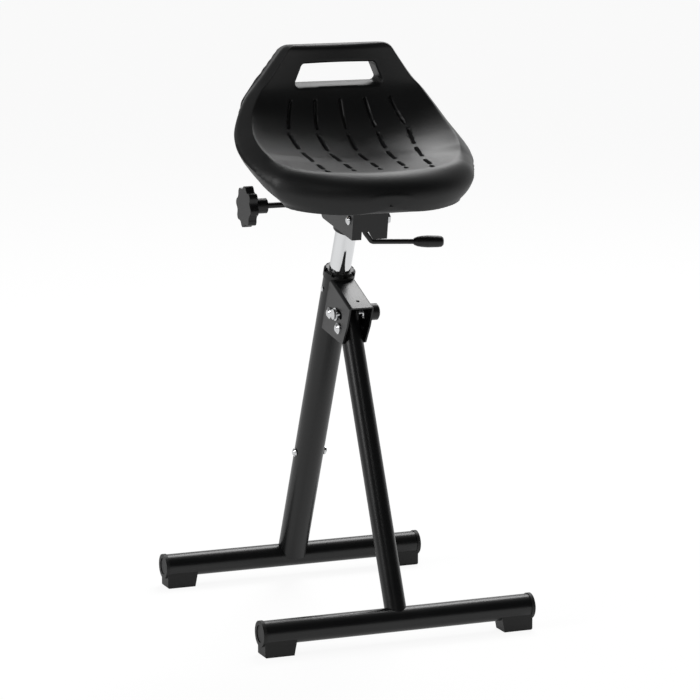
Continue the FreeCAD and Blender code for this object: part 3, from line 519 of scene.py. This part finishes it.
def slotCorners(inset):
    (low, high), (lowHalf, highHalf) = handSlot["heights"], handSlot["halfWidths"]
    return [
        (-lowHalf + inset, low + inset), (lowHalf - inset, low + inset),
        (highHalf - inset, high - inset), (-highHalf + inset, high - inset),
    ]


def slotDistance(x, z):
    # distance outside the slot's rounded outline, below zero inside it
    radius = handSlot["cornerRadius"]
    corners = slotCorners(radius)
    nearest, inside = 1e9, True
    for (ax, az), (bx, bz) in zip(corners, corners[1:] + corners[:1]):
        run, place = Vector((bx - ax, bz - az)), Vector((x - ax, z - az))
        share = min(1.0, max(0.0, place.dot(run) / run.dot(run)))
        nearest = min(nearest, (place - run * share).length)
        if run.x * place.y - run.y * place.x < 0:
            inside = False
    return (-nearest if inside else nearest) - radius


def roundSlotEdge(point, onFace):
    # draws the skin in beside the slot, so that the cut leaves a rounded edge
    radius = handSlot["edgeRound"]
    away = slotDistance(point.x, point.z)
    if away >= radius:
        return point
    part = (radius - max(0.0, away)) / radius
    sink = radius * (1 - math.sqrt(max(0.0, 1 - part * part)))
    return point + Vector((0, sink if onFace else -sink, 0))


def lipDrop(share, station, drop):
    # how far the top has fallen at this share of the half width, by its distance from the outline
    look = seatPad
    forward = look["planCentre"] - look["bendCentre"][0] - station
    reach, power = look["planCentre"] - look["noseY"], look["planPower"]
    if station > 0 or forward <= 0:
        return 0.0
    ahead = min(1.0, forward / reach) ** power
    x = share * look["sideWidth"] * math.sqrt(max(0.0, 1 - ahead))
    level = math.sqrt((x / look["sideWidth"]) ** 2 + ahead)
    slopeX = x / look["sideWidth"] ** 2 / level
    slopeY = 0.5 * power * ahead / forward / level
    away = (1 - level) / math.hypot(slopeX, slopeY)
    near = 1 - away / smoothTable(look["lipReach"], station)
    if near <= 0:
        return 0.0
    bend = smoothTable(look["lipPower"], station)
    return drop * (1 - (1 - min(1.0, near) ** bend) ** (1 / bend))


def seatSection(station):
    look = seatPad
    origin, facing = seatStation(station)
    ridge = smoothTable(look["ridgeWidth"], station)
    rise = smoothTable(look["rimRise"], station)
    level = smoothTable(look["edgeLevel"], station)
    if station > look["noseStart"]:
        edge = smoothTable(look["edgeWidth"], station)
        depth = smoothTable(look["thickness"], station)
    else:
        y = look["bendCentre"][0] + station
        reach = look["planCentre"] - look["noseY"]
        share = min(1.0, (look["planCentre"] - y) / reach)
        oval = look["sideWidth"] * math.sqrt(max(0.0, 1 - share ** look["planPower"]))
        early = min(1.0, (look["noseStart"] - station) / look["noseBlend"])
        edge = oval * early + smoothTable(look["edgeWidth"], station) * (1 - early)
        depth = origin.z - smoothTable(look["bottomLine"], station)
    ridge = min(ridge, edge * look["ridgeMost"])
    level = max(level, -depth * look["levelLowest"])
    base = max(edge - smoothTable(look["tuck"], station), edge * look["baseLeast"])
    shrink = 0.0
    fromTop = look["topStation"] - station
    if fromTop < look["topRound"]:
        part = 1 - max(fromTop, 0.0) / look["topRound"]
        shrink = look["topRound"] * (1 - math.sqrt(max(0.0, 1 - part * part)))
    ridge, edge, base = ridge - shrink, edge - shrink, base - shrink
    top, foot = -shrink, -depth + shrink
    level = min(level, top - look["levelGap"])
    drop = rise + top - level
    width, tuck = edge - ridge, edge - base

    dish = []
    count = look["facePoints"]
    for k in range(count):
        x = ridge * k / count
        height = top + rise * (k / count) ** 2 - lipDrop(x / edge, station, drop)
        dish.append(Vector((x, height - ventDepth(x, station), 0)))

    (crestOut, crestFall), (edgeBack, edgeUp) = look["nearCrest"], look["nearEdge"]
    lip = [
        Vector((ridge, top + rise, 0)),
        Vector((ridge + crestOut * width, top + rise - crestFall * drop, 0)),
        Vector((edge - edgeBack * width, level + edgeUp * drop, 0)),
        Vector((edge, level, 0)),
    ]
    last = look["lipPoints"] - 1
    lip = curveThrough(lip, [k / last for k in range(last + 1)])
    if station < 0:  # in front of the bend the lip follows the outline instead
        early = min(1.0, -station / look["lipBlend"])
        for k, p in enumerate(lip):
            x = ridge + width * math.sin(math.radians(90 * k / last))
            height = top + rise - lipDrop(x / edge, station, drop)
            lip[k] = p.lerp(Vector((x, height, 0)), early)

    (underIn, underFall), (overOut, overRise) = look["underEdge"], look["overFoot"]
    beneath = [
        (edge - underIn * tuck - look["flankDraw"], level + underFall * (foot - level)),
        (base + overOut * tuck - look["flankDraw"], foot + overRise * (level - foot)),
        (base - look["footInset"], foot),
        (0.5 * base, foot),
        (0.0, foot),
    ]
    flank = lip + [Vector((x, height, 0)) for x, height in beneath]
    rest = look["sidePoints"]
    shares = [(k / rest) ** look["sideCrowding"] for k in range(rest + 1)]
    right = dish + curveThrough(flank, shares)
    ring = right + [Vector((-p.x, p.y, 0)) for p in reversed(right[1:-1])]
    placed = [origin + Vector((p.x, 0, 0)) + facing * p.y for p in ring]
    if station > handSlot["lowestStation"]:
        placed = [roundSlotEdge(p, (p - origin).dot(facing) > -0.5 * depth) for p in placed]
    return [p * 0.001 for p in placed]


def seatStations():
    look = seatPad
    found = []
    reach = look["planCentre"] - look["noseY"]
    for k in range(look["noseRings"]):  # closer together where the nose turns away
        turn = math.radians(look["noseTurn"] - k * look["noseStep"])
        y = look["planCentre"] - reach * math.sin(turn)
        found.append(y - look["bendCentre"][0])
    station = found[-1] + look["ringStep"]
    while station < look["topStation"] - look["topRound"] - look["topGap"]:
        found.append(station)
        station += look["ringStep"]
    last = look["topRings"] - 1
    for k in range(last + 1):
        part = math.sin(math.radians(90 * k / last))
        found.append(look["topStation"] - look["topRound"] * (1 - part))
    return found


def easeCrest(rings):
    # takes the knife edge off the crest
    size = len(rings[0])
    crest, span, share = seatPad["facePoints"], seatPad["crestSpan"], seatPad["crestShare"]
    for ring in rings * seatPad["crestRounds"]:
        for middle in (crest, size - crest):
            spots = range(middle - span, middle + span + 1)
            means = [(ring[k - 1] + ring[(k + 1) % size]) * 0.5 for k in spots]
            moved = [ring[k].lerp(mean, share) for k, mean in zip(spots, means)]
            for k, place in zip(spots, moved):
                ring[k] = place


def shellFromRings(name, rings):
    shell = bmesh.new()
    rows = [[shell.verts.new(point) for point in ring] for ring in rings]
    for low, high in zip(rows, rows[1:]):
        for k in range(len(low)):
            j = (k + 1) % len(low)
            shell.faces.new((low[k], low[j], high[j], high[k]))
    shell.faces.new(rows[0])
    shell.faces.new(rows[-1])
    bmesh.ops.remove_doubles(shell, verts=shell.verts, dist=mergeGap)
    bmesh.ops.recalc_face_normals(shell, faces=shell.faces)
    mesh = bpy.data.meshes.new(name)
    shell.to_mesh(mesh)
    shell.free()
    piece = bpy.data.objects.new(name, mesh)
    bpy.context.scene.collection.objects.link(piece)
    return piece


def makeSlotCutter():
    # rounded outline of the slot, drawn out from front to back
    outline = []
    radius, steps = handSlot["cornerRadius"], handSlot["cornerSteps"]
    for k, (x, z) in enumerate(slotCorners(radius)):
        for step in range(steps + 1):
            turn = math.radians(180 + 90 * k + 90 * step / steps)
            outline.append((x + radius * math.cos(turn), z + radius * math.sin(turn)))
    ends = (handSlot["cutFrom"], handSlot["cutTo"])
    rings = [[Vector((x, y, z)) * 0.001 for x, z in outline] for y in ends]
    return shellFromRings("slotCutter", rings)


seatRings = [seatSection(station) for station in seatStations()]
easeCrest(seatRings)
seatShell = shellFromRings("seatPad", seatRings)
slotCutter = makeSlotCutter()
addModifier(seatShell, "BOOLEAN", object=slotCutter, operation="DIFFERENCE", solver="MANIFOLD")
bpy.data.objects.remove(slotCutter)
settle(seatShell, seatPlace, materials["seatSkin"], "seat", angle=40)
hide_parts("seat_pad")
print("seat pad", len(seatShell.data.polygons), "faces")


# Camera at the photograph's viewpoint
photoView = {
    "place": (-1.66747, -4.14267, 1.181),
    "aim": (0.01022, -0.00414, 0.36992),
    "lens": 166.86,
    "sensor": 36.0,
    "farthest": 100.0,
}
bpy.ops.object.camera_add(location=photoView["place"])
camera = bpy.context.object
camera.name = "photoCamera"
lookAt = Vector(photoView["aim"])
camera.rotation_euler = (lookAt - camera.location).to_track_quat("-Z", "Y").to_euler()
camera.data.lens = photoView["lens"]
camera.data.sensor_width = photoView["sensor"]
camera.data.clip_end = photoView["farthest"]
bpy.context.scene.camera = camera

# Floor, lamps and surroundings
studio = {
    "floorSize": 60.0,
    "floorSeen": 0.16,  # colour that the camera sees, over the floor's own glow
    "floorBounce": 0.5,  # colour that lights the part from below
    "floorGlow": 0.9,  # the glow, for the camera only, so that the shadow stays faint
    "floorGloss": 0.45,  # what gloss and metal show of it
    "worldFill": 0.3,  # light from all round
    # darker parts of what gloss and metal show: direction, start, end, light that is left
    "darkFront": ((0.2, -0.98, 0.0), -0.4, 0.5, 0.03),
    "darkTop": ((-0.5, 0.3, 0.81), 0.25, 0.75, 0.2),
}


def lightPathMix(nodes, links, ray, yes, no):
    # one value for rays of this kind, another for the rest
    path = nodes.new("ShaderNodeLightPath")
    mix = nodes.new("ShaderNodeMix")
    links.new(path.outputs[ray], mix.inputs["Factor"])
    for label, value in (("A", no), ("B", yes)):
        if isinstance(value, (int, float)):
            mix.inputs[label].default_value = value
        else:
            links.new(value, mix.inputs[label])
    return mix.outputs["Result"]


bpy.ops.mesh.primitive_plane_add(size=studio["floorSize"], location=(0, 0, 0))
floor = bpy.context.object
floor.name = "studioFloor"
floorLook = bpy.data.materials.new("studioFloor")
floorLook.use_nodes = True
floorNodes, floorLinks = floorLook.node_tree.nodes, floorLook.node_tree.links
floorShader = floorNodes["Principled BSDF"]
floorShader.inputs["Roughness"].default_value = 0.9
floorShader.inputs["Specular IOR Level"].default_value = 0.0
floorShader.inputs["Emission Color"].default_value = (1, 1, 1, 1)
seen, bounce = studio["floorSeen"], studio["floorBounce"]
shade = lightPathMix(floorNodes, floorLinks, "Is Camera Ray", seen, bounce)
floorLinks.new(shade, floorShader.inputs["Base Color"])
gloss = lightPathMix(floorNodes, floorLinks, "Is Glossy Ray", studio["floorGloss"], 0.0)
glow = lightPathMix(floorNodes, floorLinks, "Is Camera Ray", studio["floorGlow"], gloss)
floorLinks.new(glow, floorShader.inputs["Emission Strength"])
floor.data.materials.append(floorLook)

# white to the camera; gloss and metal show it dark in front of the stool and high on the left
world = bpy.data.worlds.new("studioWorld")
world.use_nodes = True
bpy.context.scene.world = world
worldNodes, worldLinks = world.node_tree.nodes, world.node_tree.links
surround = worldNodes["Background"]
surround.inputs["Color"].default_value = (1, 1, 1, 1)
way = worldNodes.new("ShaderNodeTexCoord")


def fadeToward(direction, start, end, low):
    # full light away from a direction, and low toward it, between two cosines
    dot = worldNodes.new("ShaderNodeVectorMath")
    dot.operation = "DOT_PRODUCT"
    dot.inputs[1].default_value = direction
    worldLinks.new(way.outputs["Generated"], dot.inputs[0])
    fade = worldNodes.new("ShaderNodeMapRange")
    fade.interpolation_type = "SMOOTHSTEP"
    for label, value in (("From Min", start), ("From Max", end), ("To Min", 1.0), ("To Max", low)):
        fade.inputs[label].default_value = value
    worldLinks.new(dot.outputs["Value"], fade.inputs["Value"])
    return fade.outputs["Result"]


fade = mathNode(
    worldNodes,
    worldLinks,
    "MULTIPLY",
    fadeToward(*studio["darkFront"]),
    fadeToward(*studio["darkTop"]),
)
glossLight = lightPathMix(worldNodes, worldLinks, "Is Glossy Ray", fade, studio["worldFill"])
worldLight = lightPathMix(worldNodes, worldLinks, "Is Camera Ray", 1.0, glossLight)
worldLinks.new(worldLight, surround.inputs["Strength"])

lamps = [
    # name, place, aims at, size, power
    ("keyLamp", (-3.2, -0.3, 1.9), (0, 0, 0.5), 1.2, 26.0),
    ("topLamp", (1.4, 1.9, 3.4), (0, 0, 0.5), 1.7, 60.0),
    ("frontLamp", (-1.4, -3.4, 3.4), (0, 0, 0.5), 1.0, 6.0),
]
for name, place, aim, size, power in lamps:
    bpy.ops.object.light_add(type="AREA", location=place)
    lamp = bpy.context.object
    lamp.name = name
    lamp.data.size = size
    lamp.data.energy = power
    direction = Vector(aim) - Vector(place)
    lamp.rotation_euler = direction.to_track_quat("-Z", "Y").to_euler()

bpy.context.scene.view_settings.view_transform = "Standard"
print("camera, floor and lamps are set")
